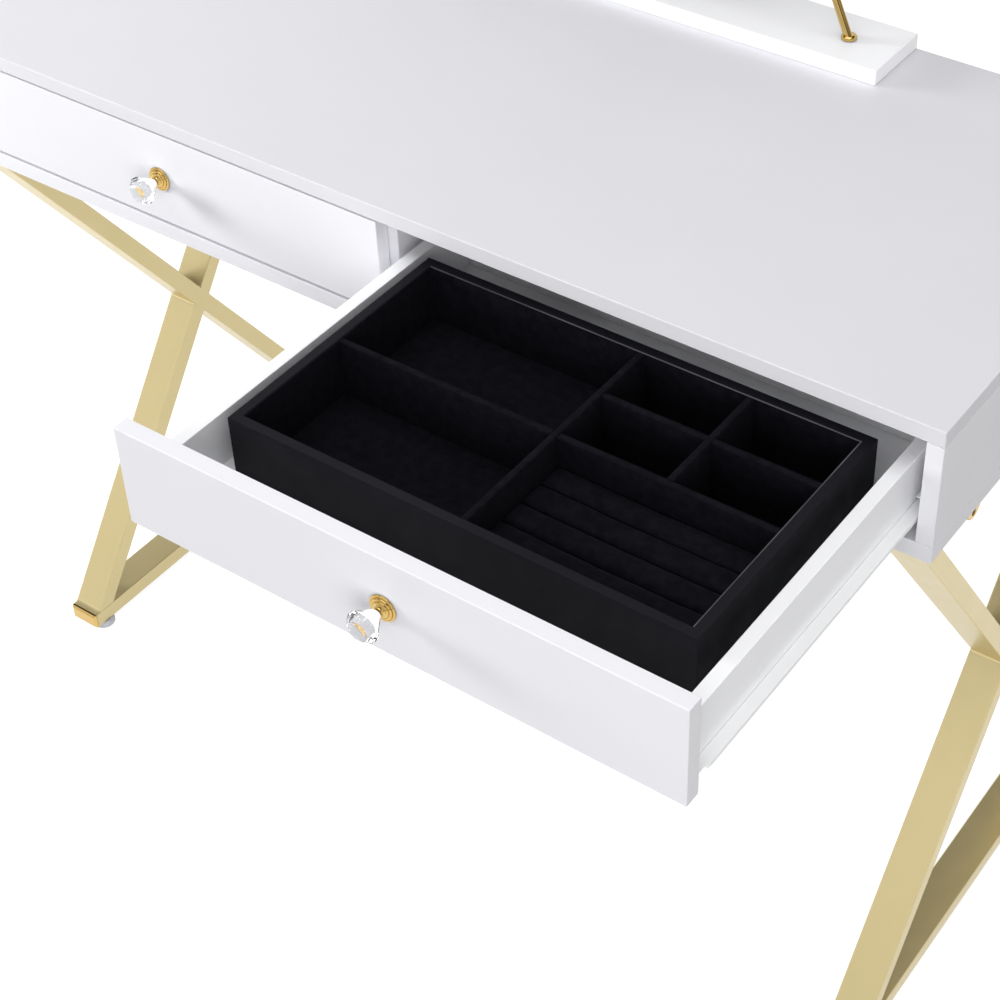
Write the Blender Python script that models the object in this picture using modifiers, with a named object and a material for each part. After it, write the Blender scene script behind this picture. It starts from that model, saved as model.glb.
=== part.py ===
"""Vanity table with a tilting mirror, two drawers and a lift-out jewellery tray.

Metres, +Z up, X to the right, the drawers open towards -Y. The origin is the middle of the
bounding box on the floor, with the right drawer standing open. Every part hangs from the empty
"carcass_front", which lies in the plane of the carcass's front edges, so local Y is the depth
behind that plane. Each drawer, the tray and the mirror hang from an empty on their own joint.
"""

import math

import bmesh
import bpy
from mathutils import Vector

GAP = 0.0003  # clearance between two touching pieces

# Carcass
WIDTH = 1.067
DEPTH = 0.480
HEIGHT = 0.782
BOARD = 0.015
CARCASS_HEIGHT = 0.132
FLOOR_BOARD = 0.0165
EDGE_ROUND = 0.0006
DIVIDER_SETBACK = 0.016

# Drawers
FRONT_THICKNESS = 0.015
FRONT_HEIGHT = 0.0955
FRONT_TOP_GAP = 0.002
FRONT_SIDE_GAP = 0.0022
SLIDE_SPACE = 0.0125
DRAWER_BOARD = 0.012
DRAWER_DEPTH = 0.415
DRAWER_SIDE_TOP = 0.735
DRAWER_SIDE_BOTTOM = 0.672
DRAWER_BOTTOM_UNDER = 0.684
DRAWER_BOTTOM_THICKNESS = 0.003
GROOVE_DEPTH = 0.006
RIGHT_DRAWER_OPEN = 0.322

# Knobs
KNOB_Z = 0.717
KNOB_PROJECTION = 0.030
STUD_RADIUS = 0.002
NECK_HEIGHT = 0.0085
# Turned steps of the rosette from its neck down to its rim: radius, height off the drawer front
ROSETTE_STEPS = (
    (0.0045, NECK_HEIGHT), (0.0036, 0.0062), (0.0060, 0.0048), (0.0064, 0.0040), (0.0088, 0.0036),
    (0.0092, 0.0026), (0.0108, 0.0024), (0.0120, 0.0014),
)
# Facets of the crystal from its table down to its point: radius, height off the drawer front
CRYSTAL_STEPS = (
    (0.0087, KNOB_PROJECTION), (0.0128, 0.0265), (0.0140, 0.0245), (0.0092, 0.0165),
    (0.0048, NECK_HEIGHT + GAP),
)
CRYSTAL_SIDES = 10

# Roller slides, in sheet steel
SHEET = 0.0012
LEDGE_TOP = 0.6875
LEDGE_REACH = 0.0105
CHANNEL_BOTTOM = 0.671
CHANNEL_TOP = 0.696
CHANNEL_REACH = 0.0100
CHANNEL_FRONT = 0.017
CHANNEL_BACK = 0.402
LEDGE_LIP = 0.004
RUNNER_START = 0.0005
RUNNER_END = 0.001
NOSE_INSET = 0.002
NOSE_TAPER = 0.014

# Jewellery tray, placed in its drawer
TRAY_HALF_WIDTH = 0.214
TRAY_FRONT = 0.0732
TRAY_LENGTH = 0.255
TRAY_TOP = 0.746
TRAY_WALL = 0.009
TRAY_BOTTOM_THICKNESS = 0.003
TRAY_DIVIDER = 0.006
TRAY_DIVIDER_TOP = 0.7452
TRAY_MIDDLE_X = 0.007
TRAY_ROW_Y = 0.1995
TRAY_CELL_X = 0.108
TRAY_CELL_Y = 0.259
RING_ROLLS = 5
RING_PITCH = 0.0248
RING_ROLL_TOP = 0.7192
RING_SLIT_BOTTOM = 0.7045
RING_SLIT_HALF = 0.0004
RING_ARC_STEPS = 8

# X frames, in rectangular tube
TUBE_WIDTH = 0.038
TUBE_HEIGHT = 0.019
TUBE_WALL = 0.0015
TUBE_INSET = 0.0066
LEG_INSET = 0.003
GLIDE_HEIGHT = 0.008
GLIDE_RADIUS = 0.0127
GLIDE_EDGE = 0.0014
GLIDE_INSET = 0.0205
GLIDE_SHIFT = 0.010  # toward the middle of the desk
BAR_OVERHANG = 0.0064
CAP_THICKNESS = 0.004
CAP_PLUG = 0.010
CAP_EDGE = 0.001
LUG_Y = 0.079
LUG_RADIUS = 0.0115
LUG_HOLE_RADIUS = 0.0033
LUG_HOLE_DROP = 0.0052
LUG_THICKNESS = 0.003
LUG_INSET = 0.0015
LUG_STEPS = 16

# Mirror and its stand
BASE_BOARD_HALF = 0.256
BASE_BOARD_FRONT = 0.3995
POST_X = 0.2075
POST_Y = 0.437
POST_RADIUS = 0.004
POST_LEAN = math.radians(24.3)
POST_RISE = 0.315
FLANGE_RADIUS = 0.0075
FLANGE_HEIGHT = 0.0045
FLANGE_EDGE = 0.0012
BALL_RADIUS = 0.009
TILT_BAR_OVERHANG = 0.012
BAR_CLEARANCE = 0.0006
MIRROR_HALF_WIDTH = 0.215
MIRROR_HALF_HEIGHT = 0.260
MIRROR_FRAME_FRONT = 0.402
MIRROR_FRAME_DEPTH = 0.018
MIRROR_RIM = 0.012
MIRROR_LIP = 0.004
GLASS_THICKNESS = 0.004
BACKING_THICKNESS = 0.003
PIVOT_BLOCK_HALF = 0.024
PIVOT_BLOCK_RADIUS = 0.010
OVAL_STEPS = 48
ROUND_STEPS = 24
ROD_STEPS = 16

# Values that follow from the ones above
TOP_UNDERSIDE = HEIGHT - BOARD
CARCASS_BOTTOM = HEIGHT - CARCASS_HEIGHT
CARCASS_FLOOR = CARCASS_BOTTOM + FLOOR_BOARD
HALF_WIDTH = WIDTH / 2
BAY_HALF = (HALF_WIDTH - BOARD - BOARD / 2) / 2
BAY_CENTRE = BOARD / 2 + BAY_HALF
FRONT_TOP = TOP_UNDERSIDE - FRONT_TOP_GAP
FRONT_BOTTOM = FRONT_TOP - FRONT_HEIGHT
FRONT_HALF = (HALF_WIDTH - BOARD - 2 * FRONT_SIDE_GAP) / 2
FRONT_SHIFT = BAY_CENTRE - FRONT_SIDE_GAP - FRONT_HALF
BOX_HALF = BAY_HALF - SLIDE_SPACE
BAR_TOP = GLIDE_HEIGHT + TUBE_HEIGHT
TUBE_X = HALF_WIDTH - TUBE_INSET - TUBE_WIDTH / 2
BASE_BOARD_TOP = HEIGHT + GAP + BOARD
TILT_Z = BASE_BOARD_TOP + POST_RISE
TILT_X = POST_X - POST_RISE * math.tan(POST_LEAN)
FRONT_REACH = RIGHT_DRAWER_OPEN + KNOB_PROJECTION
REAR_REACH = DEPTH + BAR_OVERHANG
CARCASS_FRONT_Y = (FRONT_REACH - REAR_REACH) / 2

LACQUER = ("white_lacquer", (0.80, 0.80, 0.84), 0.35, 0.0)
SLIDE_PAINT = ("slide_epoxy", (0.86, 0.87, 0.88), 0.35, 0.0)
CHAMPAGNE = ("champagne_gold", (0.64, 0.54, 0.32), 0.38, 1.0)
POLISHED = ("polished_gold", (0.80, 0.55, 0.20), 0.15, 1.0)
NYLON = ("white_nylon", (0.82, 0.82, 0.82), 0.50, 0.0)
CRYSTAL = ("crystal", (0.95, 0.96, 0.98), 0.03, 0.0)
BLACK_BOARD = ("black_board", (0.012, 0.012, 0.016), 0.40, 0.0)
VELVET = ("black_velvet", (0.004, 0.004, 0.008), 0.95, 0.0)
SILVERED = ("mirror_silver", (0.90, 0.91, 0.92), 0.02, 1.0)

parts = None
cutters = None


def clear_scene():
    for obj in list(bpy.data.objects):
        bpy.data.objects.remove(obj, do_unlink=True)


def collection(name, hidden=False):
    made = bpy.data.collections.new(name)
    bpy.context.scene.collection.children.link(made)
    made.hide_render = hidden
    return made


def material(spec):
    name, colour, roughness, metallic = spec
    found = bpy.data.materials.get(name)
    if found:
        return found
    made = bpy.data.materials.new(name)
    made.use_nodes = True
    shader = made.node_tree.nodes["Principled BSDF"]
    shader.inputs["Base Color"].default_value = (*colour, 1.0)
    shader.inputs["Roughness"].default_value = roughness
    shader.inputs["Metallic"].default_value = metallic
    return made


def empty(name, parent, location):
    made = bpy.data.objects.new(name, None)
    made.parent = parent
    made.location = location
    parts.objects.link(made)
    return made


def place(name, mesh, parent, location, spec):
    """Puts a mesh in the scene as a part, or as a cutter when it has no material."""
    made = bpy.data.objects.new(name, mesh)
    made.parent = parent
    made.location = location
    if spec:
        mesh.materials.append(material(spec))
        parts.objects.link(made)
    else:
        made.hide_render = True
        made.display_type = "WIRE"
        cutters.objects.link(made)
    return made


def bevel(obj, width, segments=1):
    made = obj.modifiers.new("Bevel", "BEVEL")
    made.width = width
    made.segments = segments
    made.limit_method = "ANGLE"
    return obj


def cut(obj, cutter, operation="DIFFERENCE"):
    made = obj.modifiers.new("Boolean", "BOOLEAN")
    made.operation = operation
    made.solver = "EXACT"
    made.object = cutter
    return obj


def box(name, x, y, z, parent, spec=None, edge=0.0):
    """A box between two limits along each axis, with its origin in its middle."""
    low = Vector((x[0], y[0], z[0]))
    high = Vector((x[1], y[1], z[1]))
    shape = bmesh.new()
    bmesh.ops.create_cube(shape, size=1.0)
    bmesh.ops.scale(shape, vec=high - low, verts=shape.verts)
    mesh = bpy.data.meshes.new(name)
    shape.to_mesh(mesh)
    shape.free()
    made = place(name, mesh, parent, (low + high) / 2, spec)
    return bevel(made, edge) if edge else made


def cylinder(name, radius, length, centre, rotation, parent, spec=None, steps=ROUND_STEPS):
    """A cylinder about its local Z."""
    shape = bmesh.new()
    bmesh.ops.create_cone(
        shape, cap_ends=True, segments=steps, radius1=radius, radius2=radius, depth=length
    )
    mesh = bpy.data.meshes.new(name)
    shape.to_mesh(mesh)
    shape.free()
    made = place(name, mesh, parent, centre, spec)
    made.rotation_euler = rotation
    return smooth(made)


def smooth(obj, angle=40):
    obj.data.shade_smooth()
    obj.data.set_sharp_from_angle(angle=math.radians(angle))
    return obj


def turned(name, profile, steps, location, rotation, parent, spec):
    """A profile of (radius, height) points, from the top down, turned about local Z."""
    mesh = bpy.data.meshes.new(name)
    points = [(radius, 0, height) for radius, height in profile]
    mesh.from_pydata(points, [(i, i + 1) for i in range(len(points) - 1)], [])
    made = place(name, mesh, parent, location, spec)
    made.rotation_euler = rotation
    screw = made.modifiers.new("Screw", "SCREW")
    screw.steps = steps
    screw.render_steps = steps
    screw.use_merge_vertices = True
    screw.merge_threshold = 0.0001
    screw.use_smooth_shade = False
    return made


def outline(name, loops, thickness, location, rotation, parent, spec=None):
    """A flat outline with holes, thickened along its local Z about its own plane."""
    curve = bpy.data.curves.new(name, "CURVE")
    curve.dimensions = "2D"
    curve.fill_mode = "BOTH"
    curve.extrude = thickness / 2
    for loop in loops:
        spline = curve.splines.new("POLY")
        spline.points.add(len(loop) - 1)
        for point, (x, y) in zip(spline.points, loop):
            point.co = (x, y, 0, 1)
        spline.use_cyclic_u = True
    holder = bpy.data.objects.new(name, curve)
    parts.objects.link(holder)
    bpy.context.view_layer.update()
    graph = bpy.context.evaluated_depsgraph_get()
    mesh = bpy.data.meshes.new_from_object(holder.evaluated_get(graph))
    bpy.data.objects.remove(holder, do_unlink=True)
    bpy.data.curves.remove(curve)
    shape = bmesh.new()
    shape.from_mesh(mesh)
    bmesh.ops.remove_doubles(shape, verts=shape.verts, dist=0.00001)
    bmesh.ops.recalc_face_normals(shape, faces=shape.faces)
    shape.to_mesh(mesh)
    shape.free()
    mesh.materials.clear()
    mesh.name = name
    made = place(name, mesh, parent, location, spec)
    made.rotation_euler = rotation
    return made


FACING_SIDE = (math.pi / 2, 0, math.pi / 2)  # outline's x is depth, its y is height
FACING_FRONT = (math.pi / 2, 0, 0)  # outline's x is width, its y is height


def oval(half_width, half_height, steps=OVAL_STEPS):
    angles = [2 * math.pi * i / steps for i in range(steps)]
    return [(half_width * math.cos(a), half_height * math.sin(a)) for a in angles]


def build_carcass(desk):
    inner = HALF_WIDTH - BOARD
    wall_z = (CARCASS_FLOOR + GAP, TOP_UNDERSIDE - GAP)
    full_x = (-HALF_WIDTH, HALF_WIDTH)
    box("top_panel", full_x, (0, DEPTH), (TOP_UNDERSIDE, HEIGHT), desk, LACQUER, EDGE_ROUND)
    floor_z = (CARCASS_BOTTOM, CARCASS_FLOOR)
    box("bottom_panel", full_x, (0, DEPTH), floor_z, desk, LACQUER, EDGE_ROUND)
    box("left_side_panel", (-HALF_WIDTH, -inner), (0, DEPTH), wall_z, desk, LACQUER, EDGE_ROUND)
    box("right_side_panel", (inner, HALF_WIDTH), (0, DEPTH), wall_z, desk, LACQUER, EDGE_ROUND)
    back_x = (-inner + GAP, inner - GAP)
    box("back_panel", back_x, (DEPTH - BOARD, DEPTH), wall_z, desk, LACQUER, EDGE_ROUND)
    divider_y = (DIVIDER_SETBACK, DEPTH - BOARD - GAP)
    box("centre_divider", (-BOARD / 2, BOARD / 2), divider_y, wall_z, desk, LACQUER, EDGE_ROUND)


def leg(name, foot, head, side, desk):
    """A tube leg in the plane of the frame: foot and head are ((y, z), (y, z)), front arris first."""
    x = side * TUBE_X
    made = outline(name, [[foot[0], foot[1], head[1], head[0]]], TUBE_WIDTH, (x, 0, 0),
                   FACING_SIDE, desk, CHAMPAGNE)
    rise = Vector(head[0]) - Vector(foot[0])
    along = rise.normalized()
    across = Vector((along.y, -along.x)) * TUBE_WALL
    bottom = [Vector(foot[0]) + across, Vector(foot[1]) - across]
    top = [Vector(head[0]) + across, Vector(head[1]) - across]
    reach = along * TUBE_WIDTH
    bore = [bottom[0] - reach, bottom[1] - reach, top[1] + reach, top[0] + reach]
    hollow = outline(name + "_bore", [[tuple(p) for p in bore]], TUBE_WIDTH - 2 * TUBE_WALL,
                     (x, 0, 0), FACING_SIDE, desk)
    return cut(made, hollow)


def build_frame(side, desk):
    """One X frame: a diagonal that runs through, one in two halves, a bar, caps, glides and a lug."""
    name = "left_" if side < 0 else "right_"
    low, high = BAR_TOP + GAP, CARCASS_BOTTOM - GAP
    run = DEPTH - 2 * LEG_INSET
    # The tube's level width follows from its slope, and the slope from its level width.
    level = TUBE_HEIGHT
    for _ in range(20):
        level = TUBE_HEIGHT / math.sin(math.atan2(high - low, run - level))
    slope = (run - level) / (high - low)
    front, back = LEG_INSET, DEPTH - LEG_INSET

    def through(z):
        """Front and back arris of the diagonal from the front at the top to the back at the foot."""
        y = front + (high - z) * slope
        return (y, z), (y + level, z)

    leg(name + "long_leg", through(low), through(high), side, desk)

    # The halves stop a gap short of the through leg's faces.
    clear = GAP / math.sin(math.atan2(1, slope))

    def other(z):
        y = front + (z - low) * slope
        return y, y + level

    def meet(edge_offset, face_offset):
        """Height where an arris of the split leg meets a face of the through leg."""
        return (high + low) / 2 + (face_offset - edge_offset) / (2 * slope)

    lower_front = meet(0.0, -clear)
    lower_back = meet(level, -clear)
    upper_front = meet(0.0, level + clear)
    upper_back = meet(level, level + clear)
    foot = ((other(low)[0], low), (other(low)[1], low))
    head = ((other(lower_front)[0], lower_front), (other(lower_back)[1], lower_back))
    leg(name + "lower_leg", foot, head, side, desk)
    foot = ((other(upper_front)[0], upper_front), (other(upper_back)[1], upper_back))
    head = ((other(high)[0], high), (other(high)[1], high))
    leg(name + "upper_leg", foot, head, side, desk)

    x = side * TUBE_X
    half = TUBE_WIDTH / 2
    bar_front = -BAR_OVERHANG + CAP_THICKNESS + GAP
    bar_back = DEPTH + BAR_OVERHANG - CAP_THICKNESS - GAP
    bar_z = (GLIDE_HEIGHT, BAR_TOP)
    bar = box(name + "bottom_bar", (x - half, x + half), (bar_front, bar_back), bar_z, desk, CHAMPAGNE)
    bore = box(
        name + "bottom_bar_bore",
        (x - half + TUBE_WALL, x + half - TUBE_WALL),
        (bar_front - half, bar_back + half),
        (GLIDE_HEIGHT + TUBE_WALL, BAR_TOP - TUBE_WALL),
        desk,
    )
    cut(bar, bore)
    inset = TUBE_WALL + GAP
    for end, outer, inward in (("front", -BAR_OVERHANG, 1), ("rear", DEPTH + BAR_OVERHANG, -1)):
        face = sorted((outer, outer + inward * CAP_THICKNESS))
        plug = sorted((outer + inward * CAP_THICKNESS / 2, outer + inward * (CAP_THICKNESS + CAP_PLUG)))
        cap = box(name + end + "_end_cap", (x - half, x + half), face, bar_z, desk, POLISHED, CAP_EDGE)
        tongue = box(
            name + end + "_end_cap_plug",
            (x - half + inset, x + half - inset),
            plug,
            (GLIDE_HEIGHT + inset, BAR_TOP - inset),
            desk,
        )
        cut(cap, tongue, "UNION")
        y = outer + inward * GLIDE_INSET
        profile = [(0, GLIDE_HEIGHT - GAP), (GLIDE_RADIUS, GLIDE_HEIGHT - GAP),
                   (GLIDE_RADIUS, GLIDE_EDGE), (GLIDE_RADIUS - GLIDE_EDGE, 0), (0, 0)]
        turned(name + end + "_glide", profile, ROUND_STEPS, (x - side * GLIDE_SHIFT, y, 0),
               (0, 0, 0), desk, NYLON)

    top = CARCASS_BOTTOM - GAP
    rim = oval(LUG_RADIUS, LUG_RADIUS, 2 * LUG_STEPS)
    rim = rim[LUG_STEPS:] + rim[:1]
    hole = [(y, z - LUG_HOLE_DROP) for y, z in oval(LUG_HOLE_RADIUS, LUG_HOLE_RADIUS, LUG_STEPS)]
    lug_x = side * (HALF_WIDTH - LUG_INSET - LUG_THICKNESS / 2)
    outline(name + "side_lug", [rim, hole], LUG_THICKNESS, (lug_x, LUG_Y, top), FACING_SIDE,
            desk, POLISHED)


def runner_outlines(hand):
    """Sections of the slide's two members, outward from the drawer side's outer face."""
    wrap = DRAWER_SIDE_BOTTOM - GAP
    under = wrap - SHEET
    web_in, web_out = GAP, GAP + SHEET
    lip = LEDGE_TOP - LEDGE_LIP
    drawer_member = [
        (-DRAWER_BOARD, under), (web_out, under), (web_out, LEDGE_TOP - SHEET),
        (LEDGE_REACH - SHEET, LEDGE_TOP - SHEET), (LEDGE_REACH - SHEET, lip), (LEDGE_REACH, lip),
        (LEDGE_REACH, LEDGE_TOP), (web_in, LEDGE_TOP), (web_in, wrap), (-DRAWER_BOARD, wrap),
    ]
    wall = SLIDE_SPACE - GAP
    tip = wall - CHANNEL_REACH
    cabinet_member = [
        (tip, CHANNEL_BOTTOM), (wall, CHANNEL_BOTTOM), (wall, CHANNEL_TOP), (tip, CHANNEL_TOP),
        (tip, CHANNEL_TOP - SHEET), (wall - SHEET, CHANNEL_TOP - SHEET),
        (wall - SHEET, CHANNEL_BOTTOM + SHEET), (tip, CHANNEL_BOTTOM + SHEET),
    ]
    return [[(hand * x, z) for x, z in section] for section in (drawer_member, cabinet_member)]


def build_channels(side, desk):
    name = "left_bay_" if side < 0 else "right_bay_"
    length = CHANNEL_BACK - CHANNEL_FRONT
    for hand, place_name in ((-1, "left"), (1, "right")):
        section = runner_outlines(hand)[1]
        middle = (side * BAY_CENTRE + hand * BOX_HALF, (CHANNEL_FRONT + CHANNEL_BACK) / 2, 0)
        outline(name + place_name + "_channel", [section], length, middle, FACING_FRONT, desk,
                SLIDE_PAINT)


def build_drawer(side, slide):
    """A drawer around its slide empty, which lies on the middle of its bay."""
    name = "left_drawer_" if side < 0 else "right_drawer_"
    shift = -side * FRONT_SHIFT
    front_x = (shift - FRONT_HALF, shift + FRONT_HALF)
    front = box(name + "front", front_x, (0, FRONT_THICKNESS), (FRONT_BOTTOM, FRONT_TOP), slide,
                LACQUER, EDGE_ROUND)
    inner = BOX_HALF - DRAWER_BOARD
    groove_x = inner + GROOVE_DEPTH
    groove_z = (DRAWER_BOTTOM_UNDER - GAP, DRAWER_BOTTOM_UNDER + DRAWER_BOTTOM_THICKNESS + GAP)
    box_front = FRONT_THICKNESS + GAP
    groove_y = (FRONT_THICKNESS - GROOVE_DEPTH, DRAWER_DEPTH + GROOVE_DEPTH)
    groove = box(name + "groove", (-groove_x, groove_x), groove_y, groove_z, slide)
    cut(front, groove)
    middle = (shift, FRONT_THICKNESS / 2, KNOB_Z)
    bore = cylinder(name + "stud_bore", STUD_RADIUS + GAP, 2 * FRONT_THICKNESS, middle,
                    (math.pi / 2, 0, 0), slide)
    cut(front, bore)
    for hand, side_name in ((-1, "left_side"), (1, "right_side")):
        x = sorted((hand * inner, hand * BOX_HALF))
        board = box(name + side_name, x, (box_front, DRAWER_DEPTH),
                    (DRAWER_SIDE_BOTTOM, DRAWER_SIDE_TOP), slide, LACQUER)
        cut(board, groove)
        section = runner_outlines(hand)[0]
        start, end = FRONT_THICKNESS + RUNNER_START, DRAWER_DEPTH - RUNNER_END
        runner = outline(name + side_name.replace("side", "runner"), [section], end - start,
                         (hand * BOX_HALF, (start + end) / 2, 0), FACING_FRONT, slide, SLIDE_PAINT)
        # The ledge starts with a slanted corner.
        outside = 2 * LEDGE_REACH
        corner = [(NOSE_INSET, -NOSE_TAPER), (outside, -NOSE_TAPER), (outside, NOSE_TAPER),
                  (LEDGE_REACH, NOSE_TAPER)]
        corner = [(hand * x, y) for x, y in corner]
        nose = outline(name + side_name + "_nose", [corner], 2 * NOSE_TAPER,
                       (hand * BOX_HALF, start, LEDGE_TOP), (0, 0, 0), slide)
        cut(runner, nose)
    back_z = (DRAWER_BOTTOM_UNDER + DRAWER_BOTTOM_THICKNESS + GAP, DRAWER_SIDE_TOP)
    back_y = (DRAWER_DEPTH - DRAWER_BOARD, DRAWER_DEPTH)
    box(name + "back", (-inner + GAP, inner - GAP), back_y, back_z, slide, LACQUER)
    floor_x = groove_x - GAP
    floor_y = (FRONT_THICKNESS - GROOVE_DEPTH + GAP, DRAWER_DEPTH)
    floor_z = (DRAWER_BOTTOM_UNDER, DRAWER_BOTTOM_UNDER + DRAWER_BOTTOM_THICKNESS)
    box(name + "bottom", (-floor_x, floor_x), floor_y, floor_z, slide, LACQUER)

    # Local Z of the knob's pieces points forward out of the drawer front.
    place_at = (shift, 0, KNOB_Z)
    stud_end = -FRONT_THICKNESS - GAP
    rosette = [(0, NECK_HEIGHT), *ROSETTE_STEPS, (ROSETTE_STEPS[-1][0], GAP), (STUD_RADIUS, GAP),
               (STUD_RADIUS, stud_end), (0, stud_end)]
    smooth(turned(name + "knob_rosette", rosette, ROUND_STEPS, place_at, (math.pi / 2, 0, 0), slide,
                  POLISHED), 30)
    crystal = [(0, KNOB_PROJECTION), *CRYSTAL_STEPS, (0, CRYSTAL_STEPS[-1][1])]
    turned(name + "knob_crystal", crystal, CRYSTAL_SIDES, place_at, (math.pi / 2, 0, 0), slide,
           CRYSTAL)


def build_tray(lift):
    """The jewellery tray around its lift empty, which shares the drawer's local axes."""
    low = DRAWER_BOTTOM_UNDER + DRAWER_BOTTOM_THICKNESS + GAP
    back = TRAY_FRONT + TRAY_LENGTH
    half = TRAY_HALF_WIDTH
    frame = box("tray_frame", (-half, half), (TRAY_FRONT, back), (low, TRAY_TOP), lift, BLACK_BOARD,
                EDGE_ROUND)
    inner_x = half - TRAY_WALL
    inner_y = (TRAY_FRONT + TRAY_WALL, back - TRAY_WALL)
    well_z = (low - TRAY_WALL, TRAY_TOP + TRAY_WALL)
    well = box("tray_well", (-inner_x, inner_x), inner_y, well_z, lift)
    cut(frame, well)
    fit_x = inner_x - GAP
    fit_y = (inner_y[0] + GAP, inner_y[1] - GAP)
    floor = low + TRAY_BOTTOM_THICKNESS
    box("tray_bottom", (-fit_x, fit_x), fit_y, (low, floor), lift, VELVET)
    z = (floor + GAP, TRAY_DIVIDER_TOP)
    thick = TRAY_DIVIDER / 2
    middle = (TRAY_MIDDLE_X - thick, TRAY_MIDDLE_X + thick)
    box("tray_middle_divider", middle, fit_y, z, lift, VELVET)
    row = (TRAY_ROW_Y - thick, TRAY_ROW_Y + thick)
    box("tray_left_divider", (-fit_x, middle[0] - GAP), row, z, lift, VELVET)
    box("tray_right_divider", (middle[1] + GAP, fit_x), row, z, lift, VELVET)
    column = (TRAY_CELL_X - thick, TRAY_CELL_X + thick)
    cross = box("tray_cell_divider", column, (row[1] + GAP, fit_y[1]), z, lift, VELVET)
    arm = box("tray_cell_arm", (middle[1] + GAP, fit_x), (TRAY_CELL_Y - thick, TRAY_CELL_Y + thick),
              z, lift)
    cut(cross, arm, "UNION")

    # The ring cushion's section: a flat base and a row of half-round rolls with slits between.
    # The slits are evenly spaced from the back, and the front roll takes what is left.
    start, end = fit_y[0], row[0] - GAP
    crown = RING_ROLL_TOP - RING_SLIT_BOTTOM
    section = [(end, floor + GAP), (start, floor + GAP)]
    edges = [start, *(end - RING_PITCH * roll for roll in reversed(range(RING_ROLLS)))]
    for near, far in zip(edges, edges[1:]):
        for step in range(RING_ARC_STEPS + 1):
            angle = math.pi - math.pi * step / RING_ARC_STEPS
            y = (near + far) / 2 + ((far - near) / 2 - RING_SLIT_HALF) * math.cos(angle)
            section.append((y, RING_SLIT_BOTTOM + crown * math.sin(angle) ** 0.5))
    low_x, high_x = middle[1] + GAP, fit_x
    outline("ring_cushion", [section], high_x - low_x, ((low_x + high_x) / 2, 0, 0), FACING_SIDE,
            lift, VELVET)


def build_stand(desk):
    board_x = (-BASE_BOARD_HALF, BASE_BOARD_HALF)
    box("mirror_base_board", board_x, (BASE_BOARD_FRONT, DEPTH), (HEIGHT + GAP, BASE_BOARD_TOP), desk,
        LACQUER, EDGE_ROUND)
    foot_z = BASE_BOARD_TOP + GAP
    for side, name in ((-1, "mirror_post_left"), (1, "mirror_post_right")):
        rise = TILT_Z - foot_z
        foot_x = TILT_X + rise * math.tan(POST_LEAN)
        flange = [(0, FLANGE_HEIGHT), (FLANGE_RADIUS - FLANGE_EDGE, FLANGE_HEIGHT),
                  (FLANGE_RADIUS, FLANGE_HEIGHT - FLANGE_EDGE), (FLANGE_RADIUS, FLANGE_EDGE),
                  (FLANGE_RADIUS - FLANGE_EDGE, 0), (0, 0)]
        post = turned(name, flange, ROUND_STEPS, (side * foot_x, POST_Y, foot_z), (0, 0, 0), desk,
                      POLISHED)
        start = FLANGE_HEIGHT / 2
        length = (rise - start) / math.cos(POST_LEAN)
        middle = Vector((side * (TILT_X + (rise - start) / 2 * math.tan(POST_LEAN)), POST_Y,
                         foot_z + (rise + start) / 2))
        rod = cylinder(name + "_rod", POST_RADIUS, length, middle, (0, -side * POST_LEAN, 0), desk,
                       steps=ROD_STEPS)
        cut(post, rod, "UNION")
        ball_mesh = bpy.data.meshes.new(name + "_ball")
        shape = bmesh.new()
        bmesh.ops.create_uvsphere(shape, u_segments=ROD_STEPS, v_segments=10, radius=BALL_RADIUS)
        shape.to_mesh(ball_mesh)
        shape.free()
        ball = place(name + "_ball", ball_mesh, desk, (side * TILT_X, POST_Y, TILT_Z), None)
        cut(post, ball, "UNION")
        socket = cylinder(name + "_socket", POST_RADIUS + GAP, 4 * BALL_RADIUS,
                          (side * TILT_X, POST_Y, TILT_Z), (0, math.pi / 2, 0), desk,
                          steps=ROD_STEPS)
        cut(post, socket)
    length = 2 * (TILT_X + TILT_BAR_OVERHANG)
    cylinder("mirror_tilt_bar", POST_RADIUS, length, (0, POST_Y, TILT_Z), (0, math.pi / 2, 0), desk,
             POLISHED, steps=ROD_STEPS)


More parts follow.
